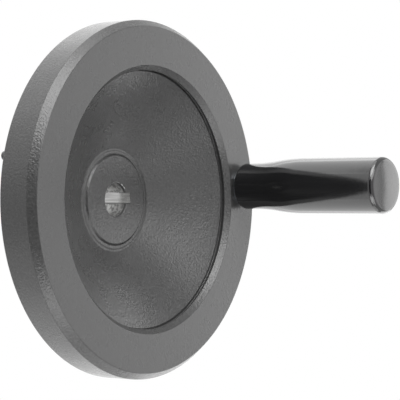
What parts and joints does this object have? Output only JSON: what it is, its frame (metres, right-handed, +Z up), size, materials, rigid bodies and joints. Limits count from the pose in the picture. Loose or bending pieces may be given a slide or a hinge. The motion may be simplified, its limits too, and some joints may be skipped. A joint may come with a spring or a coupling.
{
  "type": "machine handwheel",
  "caption": "Dished disc handwheel with a keyed hub bore, bevelled rim and a revolving taper crank grip on a steel spindle.",
  "frame": {"origin": "centre of the keyed shaft bore, halfway along the hub", "axes": "+Y along the bore axis out of the rear of the hub, where the shaft leaves; -Y to the front, where the handle stands; +X to the keyway and the handle; +Z up"},
  "size_m": [0.1261, 0.0949, 0.125],
  "materials": {
    "coated_aluminium": "fine-textured powder coat on cast aluminium, bare in the bore and keyway",
    "zinc_plated_steel": "turned and zinc plated",
    "spring_steel": "bright drawn square wire",
    "black_thermoset": "moulded, glossy"
  },
  "bodies": {
    "wheel": {"wheel": "coated_aluminium", "handle_spindle": "zinc_plated_steel", "retaining_ring": "spring_steel"},
    "grip": {"grip": "black_thermoset"}
  },
  "joints": [
    {"name": "grip_spin", "type": "hinge", "parent": "wheel", "child": "grip", "pos_m": [0.05355, -0.0543, 0], "axis": [0, 1, 0], "continuous": true}
  ]
}
